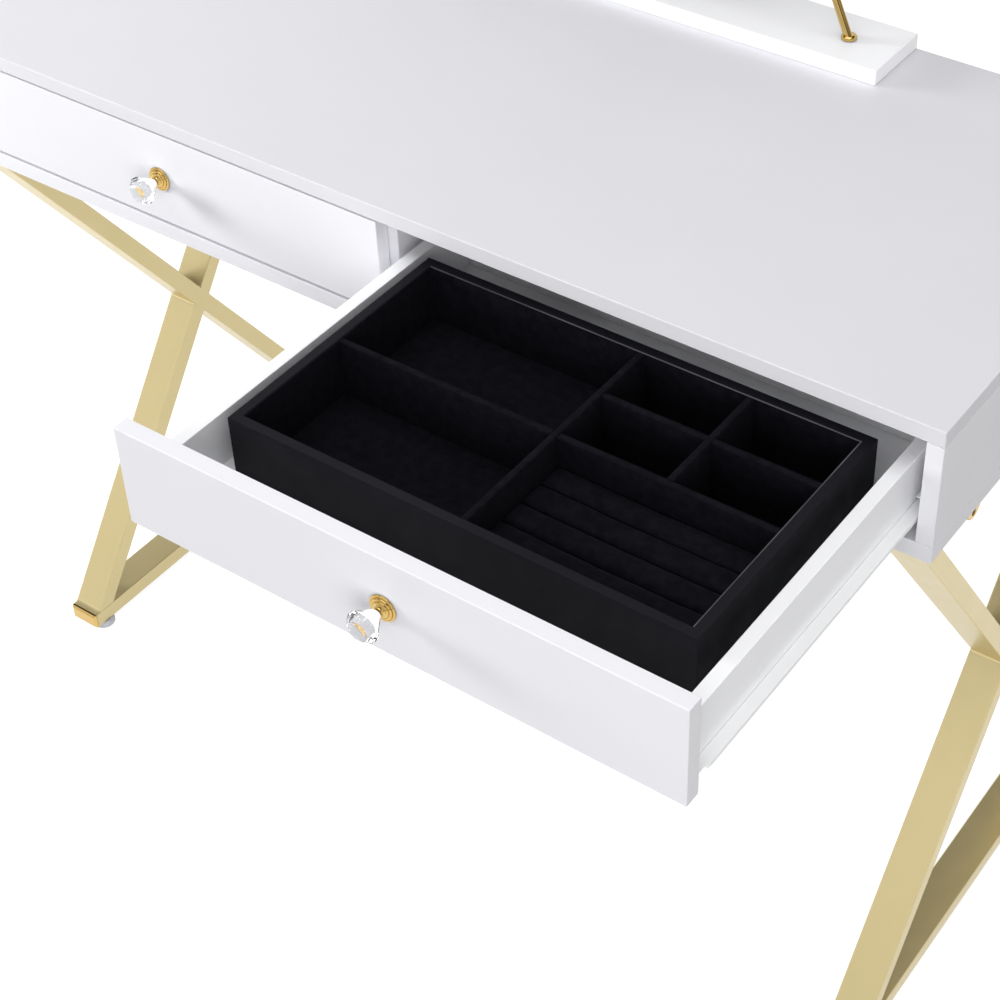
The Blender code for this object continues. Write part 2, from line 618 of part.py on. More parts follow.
def build_mirror(tilt):
    """The mirror around its tilt empty, on the tilt bar's axis."""
    front = MIRROR_FRAME_FRONT - POST_Y
    back = front + MIRROR_FRAME_DEPTH
    sight = (MIRROR_HALF_WIDTH - MIRROR_RIM, MIRROR_HALF_HEIGHT - MIRROR_RIM)
    rebate = (sight[0] + MIRROR_LIP, sight[1] + MIRROR_LIP)
    middle = (0, (front + back) / 2, 0)
    frame = outline("mirror_frame", [oval(MIRROR_HALF_WIDTH, MIRROR_HALF_HEIGHT), oval(*sight)],
                    MIRROR_FRAME_DEPTH, middle, FACING_FRONT, tilt, POLISHED)
    step = outline("mirror_rebate", [oval(*rebate)], MIRROR_FRAME_DEPTH,
                   (0, middle[1] + MIRROR_LIP, 0), FACING_FRONT, tilt)
    cut(frame, step)
    panel = oval(rebate[0] - GAP, rebate[1] - GAP)
    glass_y = front + MIRROR_LIP + GAP + GLASS_THICKNESS / 2
    outline("mirror_glass", [panel], GLASS_THICKNESS, (0, glass_y, 0), FACING_FRONT, tilt, SILVERED)
    board_y = glass_y + GLASS_THICKNESS / 2 + GAP + BACKING_THICKNESS / 2
    backing = outline("mirror_backing", [panel], BACKING_THICKNESS, (0, board_y, 0), FACING_FRONT,
                      tilt, BLACK_BOARD)
    block = box("pivot_block", (-PIVOT_BLOCK_HALF, PIVOT_BLOCK_HALF), (board_y, PIVOT_BLOCK_RADIUS),
                (-PIVOT_BLOCK_RADIUS, PIVOT_BLOCK_RADIUS), tilt)
    cut(backing, block, "UNION")
    bore = cylinder("pivot_bore", POST_RADIUS + BAR_CLEARANCE, 4 * PIVOT_BLOCK_HALF, (0, 0, 0),
                    (0, math.pi / 2, 0), tilt, steps=ROD_STEPS)
    cut(backing, bore)


def main():
    global parts, cutters
    clear_scene()
    parts = collection("vanity_table_with_mirror")
    cutters = collection("cutters", hidden=True)
    desk = empty("carcass_front", None, (0, CARCASS_FRONT_Y, 0))
    build_carcass(desk)
    for side in (-1, 1):
        build_frame(side, desk)
        build_channels(side, desk)
    left_slide = empty("left_drawer_slide", desk, (-BAY_CENTRE, 0, 0))
    right_slide = empty("right_drawer_slide", desk, (BAY_CENTRE, -RIGHT_DRAWER_OPEN, 0))
    build_drawer(-1, left_slide)
    build_drawer(1, right_slide)
    build_tray(empty("tray_lift", right_slide, (0, 0, 0)))
    build_stand(desk)
    build_mirror(empty("mirror_tilt", desk, (0, POST_Y, TILT_Z)))


main()
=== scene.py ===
"""Looks of the vanity table with mirror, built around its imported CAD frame.

Metres, +Z up, in the frame's own axes: X to the sitter's right, the drawers open towards -Y.
Every place is worked out from the boxes of the CAD nodes. Pieces are named after the nodes that
they stand for, and ride on the same bodies.
"""

import math

import bmesh
import bpy
from mathutils import Matrix, Vector, noise


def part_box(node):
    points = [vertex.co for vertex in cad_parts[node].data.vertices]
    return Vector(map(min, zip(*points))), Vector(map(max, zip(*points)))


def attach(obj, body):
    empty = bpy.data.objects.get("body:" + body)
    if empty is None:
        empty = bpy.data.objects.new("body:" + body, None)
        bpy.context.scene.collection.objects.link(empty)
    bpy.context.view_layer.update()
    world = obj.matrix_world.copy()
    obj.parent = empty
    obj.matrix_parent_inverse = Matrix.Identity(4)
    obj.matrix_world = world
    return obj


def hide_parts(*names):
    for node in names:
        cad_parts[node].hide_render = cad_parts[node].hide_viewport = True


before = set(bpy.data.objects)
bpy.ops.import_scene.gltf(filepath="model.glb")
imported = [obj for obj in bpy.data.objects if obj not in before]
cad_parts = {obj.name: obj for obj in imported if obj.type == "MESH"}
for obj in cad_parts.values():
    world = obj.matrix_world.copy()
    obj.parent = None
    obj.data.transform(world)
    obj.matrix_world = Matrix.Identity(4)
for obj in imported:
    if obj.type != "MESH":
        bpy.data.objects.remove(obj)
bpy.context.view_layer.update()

# Boards
BOARD_EDGE = 0.0007
DRAWER_EDGE = 0.0006
EDGE_SEGMENTS = 3

# Crossed legs, in rectangular tube
TUBE_HEIGHT = 0.019
TUBE_CORNER = 0.0013
TUBE_CORNER_STEPS = 4
TUBE_OVERRUN = 0.05
SLOPE_ROUNDS = 20
WELD_LEG = 0.0035
WELD_STEPS = 5
WELD_INSET = 0.0012
CAP_FACE = 0.004
CAP_PLUG_INSET = 0.002
CAP_CHAMFER = ((0.0, 0.0028), (0.0004, 0.0024), (0.0020, 0.0003), (0.0024, 0.0))
GLIDE_EDGE = 0.0014
GLIDE_EDGE_STEPS = 4
GLIDE_RING = ((0.003, 0.0006), (0.0045, 0.0006), (0.0055, 0.0))  # radius, height under the disc
GLIDE_STEP = 0.0006
LUG_HOLE_RADIUS = 0.0033
LUG_HOLE_DROP = 0.0052
LUG_EDGE = 0.0007

# Knobs: radius and height off the drawer front
KNOB_STUD = ((0.002, -0.015), (0.002, 0.0003))  # through the drawer's front
KNOB_STEPS = 64
ROSETTE = (
    (0.0116, 0.0003), (0.0120, 0.0008), (0.0120, 0.0015), (0.0116, 0.0021), (0.0109, 0.0023),
    (0.0104, 0.0021), (0.0101, 0.0017), (0.0098, 0.0017), (0.0097, 0.0024), (0.0094, 0.0032),
    (0.0088, 0.0036), (0.0081, 0.0035), (0.0077, 0.0030), (0.0073, 0.0030), (0.0071, 0.0037),
    (0.0066, 0.0044), (0.0058, 0.0047), (0.0051, 0.0045), (0.0046, 0.0049), (0.0041, 0.0057),
    (0.0038, 0.0065), (0.0039, 0.0072), (0.0044, 0.0078), (0.0046, 0.0082), (0.0044, 0.0085),
)
CRYSTAL_NECK = 0.0088
FOIL_RADIUS = 0.0043
FOIL_GAP = 0.0001
CRYSTAL_RINGS = (
    # radius, height, number of corners, turn as a share of a corner
    (0.0044, CRYSTAL_NECK, 10, 0.0),
    (0.0076, 0.0138, 10, 0.5),
    (0.0113, 0.0193, 10, 0.0),
    (0.0139, 0.0234, 20, 0.25),
    (0.0140, 0.0244, 20, 0.25),
    (0.0122, 0.0272, 10, 0.5),
    (0.0092, 0.0300, 10, 0.0),
)

# Roller slides
ROLLER_RADIUS = 0.0064
ROLLER_WIDTH = 0.0062
ROLLER_EDGE = 0.0008
ROLLER_HUB = 0.45  # share of the wheel's radius
ROLLER_GROOVE = 0.97
ROLLER_STEPS = 32
ROLLER_FROM_END = 0.010
REAR_ROLLER_FROM_END = 3 * ROLLER_FROM_END
ROLLER_SIDE_GAP = 0.0012  # leaves room for the rivet's head beside the runner's web
ROLLER_GAP = 0.0002
RIVET_RADIUS = 0.0026
RIVET_HEAD = 0.0005
AXLE_RADIUS = RIVET_RADIUS * 0.6
AXLE_BITE = 0.001
AXLE_STEPS = 20
SHEET = 0.0012
SLIDE_EDGE = 0.0004
SCREW_RADIUS = 0.0030
SCREW_HEIGHT = 0.0010
SCREW_HEAD = (
    # shares of the head's radius and height; the last two are the recess
    (1.0, 0.0), (1.0, 0.35), (0.9, 0.7), (0.65, 0.95), (0.4, 1.0), (0.36, 0.6),
)
SCREW_PLACES = (0.14, 0.5, 0.93)  # shares of the channel's length

# Jewellery tray
TRAY_WALL = 0.009
TRAY_EDGE = 0.0008
TRAY_FLOOR_EDGE = 0.0006
LINING = 0.0008
LINING_DROP = 0.0007
LINING_BITE = 0.0002
LINING_EDGE = 0.0003
BEAD_RADIUS = 0.00055
BEAD_STEPS = 10
DIVIDER_EDGE = 0.0012
CELL_X = 0.108
CELL_Y = 0.259
CROSSING_DROP = 0.0003  # keeps the tops of the two crossing cards out of one plane

# Ring cushion
ROLLS = 5
ROLL_PITCH = 0.0248
ROLL_START_INSET = 0.0006
ROLL_CORNER = 0.0026
ROLL_ENDS = (
    # share of half the roll's length, how far it is pulled in
    (-1.0, 0.0012), (-0.99, 0.0003), (-0.97, 0.0), (0.97, 0.0), (0.99, 0.0003), (1.0, 0.0012),
)
ROLL_VOXEL = 0.003
ROLL_PRESSURE = 4.0
ROLL_FRAMES = 20
ROLL_CAP = 0.0035
ROLL_GAP = 0.0003
ROLL_RISE = 0.001
ROLL_WRINKLES = ((45.0, 0.0005), (140.0, 0.0002))  # scale of the noise, height

# Mirror
POST_RADIUS = 0.004
FLANGE_RADIUS = 0.0075
FLANGE_HEIGHT = 0.0045
FLANGE_EDGE = (
    # beyond FLANGE_RADIUS, height
    (-0.0008, 0.0), (0.0, 0.0008), (0.0, 0.0022), (-0.0004, 0.0032), (-0.0016, 0.0041),
    (-0.0028, FLANGE_HEIGHT),
)
FLANGE_NECK = 0.0002
ROD_START = 0.002
COLLAR = (
    # beyond POST_RADIUS, distance from the bar's middle
    (0.0, -0.012), (0.0010, -0.0115), (0.0014, -0.0105), (0.0010, -0.0095), (0.0, -0.009),
    (0.0, -0.004),
)
BALL_STEPS = 20
ACORN = 0.003
ACORN_STEPS = 6
ACORN_TIP = 0.0002
BAR_STEPS = 32
PIVOT_HALF_WIDTH = 0.024
PIVOT_PLAY = 0.0006
BACKING_BOARD = 0.003
MIRROR_RIM = 0.012
MIRROR_LIP = 0.004
SIGHT_EDGE = ((0.0, 0.0026), (-0.0008, 0.0018), (-0.0020, 0.0016), (-0.0026, 0.0008))
OUTER_BACK_EDGE = ((0.0, -0.0015), (0.0006, -0.0004), (0.0016, 0.0))
INNER_BACK_EDGE = 0.0005
MOULDING_BEAD = 0.003
MOULDING_ROUND = 0.007
MOULDING_STEPS = 8
GLASS_BEVEL = ((0.018, 0.0), (0.0005, 0.0011), (0.0, 0.0016))  # inset, depth behind its face
GLASS_BACK_EDGE = 0.0004
BACKING_EDGE = 0.0008
BACKING_CHAMFER = 0.0006
PIVOT_STEM_BITE = 0.001
PIVOT_STEM_LAP = 0.0005
OVAL_STEPS = 120

# Corners round a turned piece, where it has no number of its own
ROUND_STEPS = 48
SMALL_STEPS = 24

# Materials
NOISE_LOW = 0.3  # nearly all of a noise's values lie between these two
NOISE_HIGH = 0.7

# Camera: the angles are its tilt up from straight down, its roll and its turn about Z
CAMERA_PLACE = (1.0047, -1.2004, 1.7952)
CAMERA_ANGLES = (49.550, 1.365, 35.342)
CAMERA_LENS = 77.24
CAMERA_SHIFT = (-0.042, -0.0518)

# Light: KEY, OVERHEAD and FILL are each a light's place, its target and its size
FLOOR_GLOW = 0.90
FLOOR_REACH = 100.0
HORIZON_DIP = 0.03
SKY_BELOW = 0.10
SKY_ABOVE = 0.85
SKY_DARKENING = ((0.002, 1.0), (0.78, 0.31))  # height on a unit sphere, share of SKY_ABOVE
REFLECTED_SKY = (
    # height on a unit sphere, brightness
    (0.01, 0.80), (0.03, 0.10), (0.10, 0.10), (0.18, 0.95), (0.56, 1.05), (0.66, 0.08),
    (0.84, 0.08), (0.92, 0.50),
)
KEY_POWER = 75.0
KEY_SCREEN = 0.33
OVERHEAD_POWER = 32.0
FILL_POWER = 52.0
KEY = ((-2.45, -0.82, 1.22), (0.0, -0.1, 0.70), (1.0, 0.7))
OVERHEAD = ((0.0, -0.2, 2.9), (0.0, 0.0, 0.7), (2.6, 2.0))
FILL = ((1.7, -2.5, 1.5), (0.1, -0.1, 0.6), (2.2, 1.8))


# ---------------------------------------------------------------- materials

def shader_of(name, **values):
    """A new material and its tree, with values set on the Principled shader's own sockets."""
    made = bpy.data.materials.new(name)
    made.use_nodes = True
    shader = made.node_tree.nodes["Principled BSDF"]
    for socket, value in values.items():
        shader.inputs[socket.replace("_", " ")].default_value = value
    return made, made.node_tree, shader


def pattern(tree, scale, detail=2.0):
    """A noise over the object's own coordinates."""
    place = tree.nodes.new("ShaderNodeTexCoord")
    texture = tree.nodes.new("ShaderNodeTexNoise")
    texture.inputs["Scale"].default_value = scale
    texture.inputs["Detail"].default_value = detail
    tree.links.new(place.outputs["Object"], texture.inputs["Vector"])
    return texture.outputs[0]


def span(tree, value, low, high):
    """Maps the middle reach of a noise to low..high."""
    made = tree.nodes.new("ShaderNodeMapRange")
    for socket, number in (("From Min", NOISE_LOW), ("From Max", NOISE_HIGH), ("To Min", low),
                           ("To Max", high)):
        made.inputs[socket].default_value = number
    tree.links.new(value, made.inputs["Value"])
    return made.outputs["Result"]


def shades(tree, value, dark, light, start=NOISE_LOW, end=NOISE_HIGH):
    """A colour between dark and light, by a noise."""
    made = tree.nodes.new("ShaderNodeValToRGB")
    made.color_ramp.elements[0].position = start
    made.color_ramp.elements[1].position = end
    made.color_ramp.elements[0].color = (*dark, 1)
    made.color_ramp.elements[1].color = (*light, 1)
    tree.links.new(value, made.inputs["Fac"])
    return made.outputs["Color"]


def relief(tree, shader, value, strength, distance):
    """A bump on the shader's normal, by a noise."""
    made = tree.nodes.new("ShaderNodeBump")
    made.inputs["Strength"].default_value = strength
    made.inputs["Distance"].default_value = distance
    tree.links.new(value, made.inputs["Height"])
    tree.links.new(made.outputs["Normal"], shader.inputs["Normal"])


def paint(name, dark, light, rough, orange_peel, **values):
    """A sprayed or coated surface: slow drift of tone, patchy gloss and a faint orange peel."""
    made, tree, shader = shader_of(name, **values)
    drift = pattern(tree, 9.0, 3.0)
    tree.links.new(shades(tree, drift, dark, light), shader.inputs["Base Color"])
    gloss = pattern(tree, 42.0, 4.0)
    tree.links.new(span(tree, gloss, *rough), shader.inputs["Roughness"])
    relief(tree, shader, pattern(tree, *orange_peel[:2]), *orange_peel[2:])
    return made


# Painted shade: a darker copy of the white lacquer for the table top, so that the upward face reads
# dimmer than the fronts.
def table_top_painted_shade_lacquer():
    return paint("table_top_lacquer_paint", (0.670, 0.668, 0.700), (0.680, 0.678, 0.710),
                 (0.40, 0.45), (900.0, 2.0, 0.03, 0.0003))


# The drawer boxes' melamine white, set brighter than the lacquer: painted light that lifts their
# sides, shaded under the table top, and the mirror's base board.
def box_melamine_painted_light():
    return paint("drawer_box_melamine", (0.910, 0.912, 0.930), (0.920, 0.922, 0.940), (0.36, 0.42),
                 (1100.0, 2.0, 0.02, 0.0003))


def white_lacquer():
    return paint("white_lacquer_paint", (0.765, 0.763, 0.797), (0.775, 0.773, 0.807), (0.40, 0.45),
                 (900.0, 2.0, 0.03, 0.0003))


def slide_epoxy():
    return paint("slide_epoxy_paint", (0.90, 0.905, 0.91), (0.92, 0.925, 0.93), (0.28, 0.38),
                 (1400.0, 2.0, 0.12, 0.0004))


def white_nylon():
    return paint("white_nylon_moulded", (0.70, 0.70, 0.73), (0.74, 0.74, 0.77), (0.42, 0.55),
                 (2200.0, 2.0, 0.10, 0.0003), Subsurface_Weight=0.05)


def champagne_gold():
    return paint("champagne_gold_satin", (0.665, 0.555, 0.290), (0.690, 0.575, 0.305), (0.30, 0.36),
                 (1600.0, 3.0, 0.05, 0.0004), Metallic=0.70)


def polished_gold():
    return paint("polished_gold_plate", (0.58, 0.40, 0.13), (0.65, 0.45, 0.16), (0.05, 0.09),
                 (500.0, 2.0, 0.02, 0.0003), Metallic=1.0)


def black_board():
    return paint("black_board_satin", (0.0045, 0.0045, 0.0070), (0.0070, 0.0070, 0.0105),
                 (0.50, 0.60), (1800.0, 3.0, 0.12, 0.0003), Specular_IOR_Level=0.12)


def lining_edge_painted_highlight(name, share):
    """The lining's top edge with a painted highlight: its colour drifts up to a lighter grey, by a
    strength given for each wall.
    """
    light = (0.30 * share, 0.30 * share, 0.33 * share)
    return paint("lining_edge_painted_highlight_" + name, (0.02, 0.02, 0.024), light, (0.40, 0.55),
                 (1500.0, 2.0, 0.2, 0.0003))


def velvet(name, dark, light):
    """Flocked pile: soft patches where the nap lies over, fine fibre grain and a sheen."""
    made, tree, shader = shader_of(name, Sheen_Weight=0.02, Sheen_Roughness=0.35,
                                   Sheen_Tint=(0.75, 0.75, 0.85, 1.0), Specular_IOR_Level=0.08)
    nap = pattern(tree, 120.0, 5.0)
    tree.links.new(shades(tree, nap, dark, light, 0.35, 0.75), shader.inputs["Base Color"])
    tree.links.new(span(tree, pattern(tree, 300.0, 2.0), 0.85, 1.0), shader.inputs["Roughness"])
    relief(tree, shader, pattern(tree, 2600.0, 3.0), 0.35, 0.0005)
    return made


def black_velvet():
    return velvet("black_velvet_flock", (0.0030, 0.0030, 0.0048), (0.0062, 0.0062, 0.0095))


def crystal():
    """Clear cut crystal with the faintest haze on its facets."""
    made, tree, shader = shader_of("crystal_clear", Transmission_Weight=1.0, IOR=1.54)
    tint = shades(tree, pattern(tree, 240.0), (0.95, 0.96, 0.98), (1.0, 1.0, 1.0))
    tree.links.new(tint, shader.inputs["Base Color"])
    tree.links.new(span(tree, pattern(tree, 500.0), 0.0, 0.02), shader.inputs["Roughness"])
    return made


def mirror_silver():
    made, tree, shader = shader_of("mirror_silver_glass", Metallic=1.0)
    tint = shades(tree, pattern(tree, 6.0), (0.88, 0.89, 0.90), (0.91, 0.92, 0.93))
    tree.links.new(tint, shader.inputs["Base Color"])
    tree.links.new(span(tree, pattern(tree, 30.0, 4.0), 0.012, 0.028), shader.inputs["Roughness"])
    return made


FINISHES = {
    make.__name__: make()
    for make in (white_lacquer, slide_epoxy, champagne_gold, polished_gold, white_nylon, crystal,
                 black_board, black_velvet, mirror_silver)
}
BOX_FINISH_PAINTED_LIGHT = box_melamine_painted_light()


# ---------------------------------------------------------------- shapes

def loft(loops, ring=False):
    """A closed skin over loops of equally many points, capped at its ends or closed into a ring."""
    shape = bmesh.new()
    rows = [[shape.verts.new(point) for point in loop] for loop in loops]
    pairs = list(zip(rows, rows[1:])) + ([(rows[-1], rows[0])] if ring else [])
    count = len(rows[0])
    for row, following in pairs:
        for i in range(count):
            j = (i + 1) % count
            shape.faces.new((row[i], row[j], following[j], following[i]))
    if not ring:
        shape.faces.new(list(reversed(rows[0])))
        shape.faces.new(rows[-1])
    bmesh.ops.recalc_face_normals(shape, faces=shape.faces)
    return shape


def block(low, high):
    """A box between two corners."""
    corners = [(low[0], low[1]), (high[0], low[1]), (high[0], high[1]), (low[0], high[1])]
    return loft([[(x, y, z) for x, y in corners] for z in (low[2], high[2])])


def circle(radius, height, steps=ROUND_STEPS, turn=0.0):
    """Points round the Z axis, started a share of a step late."""
    angles = [2 * math.pi * (i + turn) / steps for i in range(steps)]
    return [Vector((radius * math.cos(a), radius * math.sin(a), height)) for a in angles]


def turned(profile, place, steps=ROUND_STEPS):
    """A profile of (radius, height) pairs turned about an axis that the matrix places."""
    return loft([[place @ point for point in circle(r, h, steps)] for r, h in profile])


def rounded_rectangle(half_u, half_v, corner, steps=TUBE_CORNER_STEPS):
    """Points (u, v) round a rectangle about the origin."""
    points = []
    for quarter, (su, sv) in enumerate(((1, 1), (-1, 1), (-1, -1), (1, -1))):
        for i in range(steps + 1):
            angle = math.pi / 2 * (quarter + i / steps)
            points.append((su * (half_u - corner) + corner * math.cos(angle),
                           sv * (half_v - corner) + corner * math.sin(angle)))
    return points


def along(axis, place):
    """A matrix whose local Z points along an axis, at a place."""
    return Matrix.Translation(place) @ Vector(axis).to_track_quat("Z", "Y").to_matrix().to_4x4()


def joined(shapes):
    """Several meshes in one, each still its own skin."""
    whole = bmesh.new()
    for shape in shapes:
        mesh = bpy.data.meshes.new("part")
        shape.to_mesh(mesh)
        shape.free()
        whole.from_mesh(mesh)
        bpy.data.meshes.remove(mesh)
    return whole


def temporary(shape):
    """An object that only carries a mesh through a modifier."""
    mesh = bpy.data.meshes.new("temporary")
    shape.to_mesh(mesh)
    shape.free()
    made = bpy.data.objects.new("temporary", mesh)
    bpy.context.scene.collection.objects.link(made)
    return made


def applied(obj):
    """The mesh of an object with its modifiers applied; the object goes."""
    bpy.context.view_layer.update()
    graph = bpy.context.evaluated_depsgraph_get()
    mesh = bpy.data.meshes.new_from_object(obj.evaluated_get(graph))
    bpy.data.objects.remove(obj, do_unlink=True)
    return mesh


def combined(first, second):
    """The exact union of two meshes, as a new one."""
    body, tool = temporary(first), temporary(second)
    made = body.modifiers.new("Boolean", "BOOLEAN")
    made.operation = "UNION"
    made.solver = "EXACT"
    made.object = tool
    mesh = applied(body)
    bpy.data.objects.remove(tool, do_unlink=True)
    shape = bmesh.new()
    shape.from_mesh(mesh)
    bpy.data.meshes.remove(mesh)
    bmesh.ops.remove_doubles(shape, verts=shape.verts, dist=0.000005)
    return shape


def painted(mesh, finish):
    """Gives a mesh one material and no other."""
    mesh.materials.clear()
    mesh.materials.append(finish)


def piece(name, shape, body, slot, replaced=(), edge=0.0, sharp=42, finish=None):
    """A visible object made from a mesh that is already in place."""
    if isinstance(shape, bmesh.types.BMesh):
        mesh = bpy.data.meshes.new(name)
        shape.to_mesh(mesh)
        shape.free()
    else:
        mesh = shape
    painted(mesh, finish or FINISHES[slot])
    made = bpy.data.objects.new(name, mesh)
    bpy.context.scene.collection.objects.link(made)
    if edge:
        bevel = made.modifiers.new("Rounded edges", "BEVEL")
        bevel.width = edge
        bevel.segments = EDGE_SEGMENTS
        bevel.limit_method = "ANGLE"
        bevel.angle_limit = math.radians(sharp)
    mesh.shade_smooth()
    if not edge:
        mesh.set_sharp_from_angle(angle=math.radians(sharp))
    weighted = made.modifiers.new("Flat faces", "WEIGHTED_NORMAL")
    weighted.keep_sharp = True
    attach(made, body)
    if replaced:
        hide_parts(*replaced)
    return made


def board(node, body, edge=BOARD_EDGE, finish=None):
    """A CAD board with its edges rounded."""
    return piece(node + "_board", block(*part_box(node)), body, "white_lacquer", [node], edge,
                 finish=finish)


# ---------------------------------------------------------------- carcass

def build_carcass():
    """The boards of the desk's body and the board that carries the mirror."""
    for node in ("bottom_panel", "left_side_panel", "right_side_panel", "back_panel",
                 "centre_divider"):
        board(node, "root")
    # The table top takes the darker copy of the lacquer, painted shade.
    board("top_panel", "root", finish=table_top_painted_shade_lacquer())
    # The mirror's base board takes the brighter box white, painted light.
    board("mirror_base_board", "root", finish=BOX_FINISH_PAINTED_LIGHT)


# ---------------------------------------------------------------- crossed frames

def tube(start, end, half_width):
    """A rectangular tube's outside between two points of a plane of constant X."""
    start, end = Vector(start), Vector(end)
    direction = (end - start).normalized()
    across = Vector((0, -direction.z, direction.y))
    section = rounded_rectangle(half_width, TUBE_HEIGHT / 2, TUBE_CORNER)
    return loft([[centre + Vector((u, 0, 0)) + across * v for u, v in section]
                 for centre in (start, end)])


def trimmed(shape, z, upward):
    """Cuts a mesh level at a height and caps it: what lies beyond goes."""
    geometry = [*shape.verts, *shape.edges, *shape.faces]
    cut = bmesh.ops.bisect_plane(shape, geom=geometry, plane_co=(0, 0, z), plane_no=(0, 0, upward),
                                 clear_outer=True)
    edges = [item for item in cut["geom_cut"] if isinstance(item, bmesh.types.BMEdge)]
    bmesh.ops.edgeloop_fill(shape, edges=edges)
    bmesh.ops.recalc_face_normals(shape, faces=shape.faces)
    return shape


def weld(corner, first, second, x, half_width):
    """A ground weld: a hollow fillet between two directions that leave a corner."""
    corner, first, second = Vector(corner), Vector(first).normalized(), Vector(second).normalized()
    inner = corner - (first + second) * WELD_INSET / 2
    outline = [inner]
    for i in range(WELD_STEPS + 1):
        t = i / WELD_STEPS
        outline.append(corner + first * WELD_LEG * (1 - t) ** 2 + second * WELD_LEG * t ** 2)
    half = half_width - WELD_INSET
    return loft([[point + Vector((x + side * half, 0, 0)) for point in outline]
                 for side in (-1, 1)])


def build_frame(side):
    """Two crossed tubes welded into an X, on a bottom bar with its caps and glides."""
    low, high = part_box(side + "_long_leg")
    x = (low.x + high.x) / 2
    half = (high.x - low.x) / 2
    run, rise = high.y - low.y, high.z - low.z
    # The tube's level width follows from its slope, and the slope from its level width.
    level = TUBE_HEIGHT
    for _ in range(SLOPE_ROUNDS):
        level = TUBE_HEIGHT / math.sin(math.atan2(rise, run - level))
    slope = math.atan2(rise, run - level)
    middle = Vector((x, (low.y + high.y) / 2, (low.z + high.z) / 2))
    legs = []
    for lean in (-1, 1):
        direction = Vector((0, lean * math.cos(slope), math.sin(slope)))
        reach = direction * (rise / 2 / math.sin(slope) + TUBE_OVERRUN)
        leg = tube(middle - reach, middle + reach, half)
        legs.append(trimmed(trimmed(leg, high.z, 1), low.z, -1))
    nodes = [f"{side}_{name}_leg" for name in ("long", "lower", "upper")]
    piece(side + "_crossed_legs", combined(*legs), "root", "champagne_gold", nodes, sharp=50)

    # Welds in the four corners of the crossing, and where the feet stand on the bar.
    up = Vector((0, math.cos(slope), math.sin(slope)))
    down = Vector((0, -up.y, up.z))
    top = Vector((0, 0, TUBE_HEIGHT / 2 / math.cos(slope)))
    front = Vector((0, TUBE_HEIGHT / 2 / math.sin(slope), 0))
    flat = Vector((0, middle.y, middle.z))
    welds = [
        weld(flat + top, up, down, x, half),
        weld(flat - top, -up, -down, x, half),
        weld(flat + front, up, -down, x, half),
        weld(flat - front, -up, down, x, half),
    ]
    for end, sign in ((low.y, 1), (high.y, -1)):
        lean = Vector((0, sign * math.cos(slope), math.sin(slope)))
        outer = Vector((0, end, low.z))
        welds.append(weld(outer, (0, -sign, 0), lean, x, half))
        welds.append(weld(outer + Vector((0, sign * level, 0)), (0, sign, 0), lean, x, half))
    piece(side + "_frame_welds", joined(welds), "root", "champagne_gold", sharp=60)

    bar_low, bar_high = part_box(side + "_bottom_bar")
    bar_z = (bar_low.z + bar_high.z) / 2
    piece(side + "_bottom_bar_tube",
          tube((x, bar_low.y, bar_z), (x, bar_high.y, bar_z), half), "root", "champagne_gold",
          [side + "_bottom_bar"])
    for end, sign in (("front", 1), ("rear", -1)):
        build_cap(side, end, sign)
        build_glide(f"{side}_{end}_glide")
    build_lug(side)


def build_cap(side, end, sign):
    """An end cap: a chamfered face plate and the plug behind it."""
    node = f"{side}_{end}_end_cap"
    low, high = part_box(node)
    centre = (low + high) / 2
    outer = low.y if sign > 0 else high.y
    half_x, half_z = (high.x - low.x) / 2, (high.z - low.z) / 2
    loops = []
    for depth, inset in (*CAP_CHAMFER, (CAP_FACE, 0.0), (CAP_FACE, CAP_PLUG_INSET),
                         (high.y - low.y, CAP_PLUG_INSET)):
        section = rounded_rectangle(half_x - inset, half_z - inset, TUBE_CORNER)
        loops.append([(centre.x + u, outer + sign * depth, centre.z + v) for u, v in section])
    piece(node + "_plate", loft(loops), "root", "polished_gold", [node])


def build_glide(node):
    """A moulded foot: a disc with a rolled edge, a step near its top and a hollow underneath."""
    low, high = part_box(node)
    radius, height = (high.x - low.x) / 2, high.z - low.z
    profile = [*GLIDE_RING, (radius - GLIDE_EDGE, 0.0)]
    for i in range(GLIDE_EDGE_STEPS + 1):
        angle = math.pi / 2 * i / GLIDE_EDGE_STEPS
        profile.append((radius - GLIDE_EDGE * (1 - math.sin(angle)),
                        GLIDE_EDGE * (1 - math.cos(angle))))
    profile += [(radius, height * 0.55), (radius - GLIDE_STEP, height * 0.6),
                (radius - GLIDE_STEP, height - GLIDE_STEP), (radius - 2 * GLIDE_STEP, height)]
    place = Matrix.Translation(((low.x + high.x) / 2, (low.y + high.y) / 2, low.z))
    piece(node + "_disc", turned(profile, place), "root", "white_nylon", [node])


def build_lug(side):
    """A pressed half-round lug with a round eye."""
    node = side + "_side_lug"
    low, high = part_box(node)
    radius = (high.y - low.y) / 2
    middle_y, top = (low.y + high.y) / 2, high.z
    rim, eye = [], []
    for i in range(ROUND_STEPS):
        angle = 2 * math.pi * (i + 0.5) / ROUND_STEPS
        c, s = math.cos(angle), math.sin(angle)
        # From the eye's middle out to the half disc's edge: its straight top or its arc.
        reach = LUG_HOLE_DROP * s + math.sqrt((LUG_HOLE_DROP * s) ** 2
                                              - LUG_HOLE_DROP ** 2 + radius ** 2)
        if s > 0:
            reach = min(reach, LUG_HOLE_DROP / s)
        rim.append((middle_y + reach * c, top - LUG_HOLE_DROP + reach * s))
        eye.append((middle_y + LUG_HOLE_RADIUS * c, top - LUG_HOLE_DROP + LUG_HOLE_RADIUS * s))
    loops = [[(x, y, z) for y, z in outline]
             for x, outline in ((low.x, rim), (low.x, eye), (high.x, eye), (high.x, rim))]
    piece(node + "_plate", loft(loops, ring=True), "root", "polished_gold", [node], LUG_EDGE, 60)


# ---------------------------------------------------------------- drawers

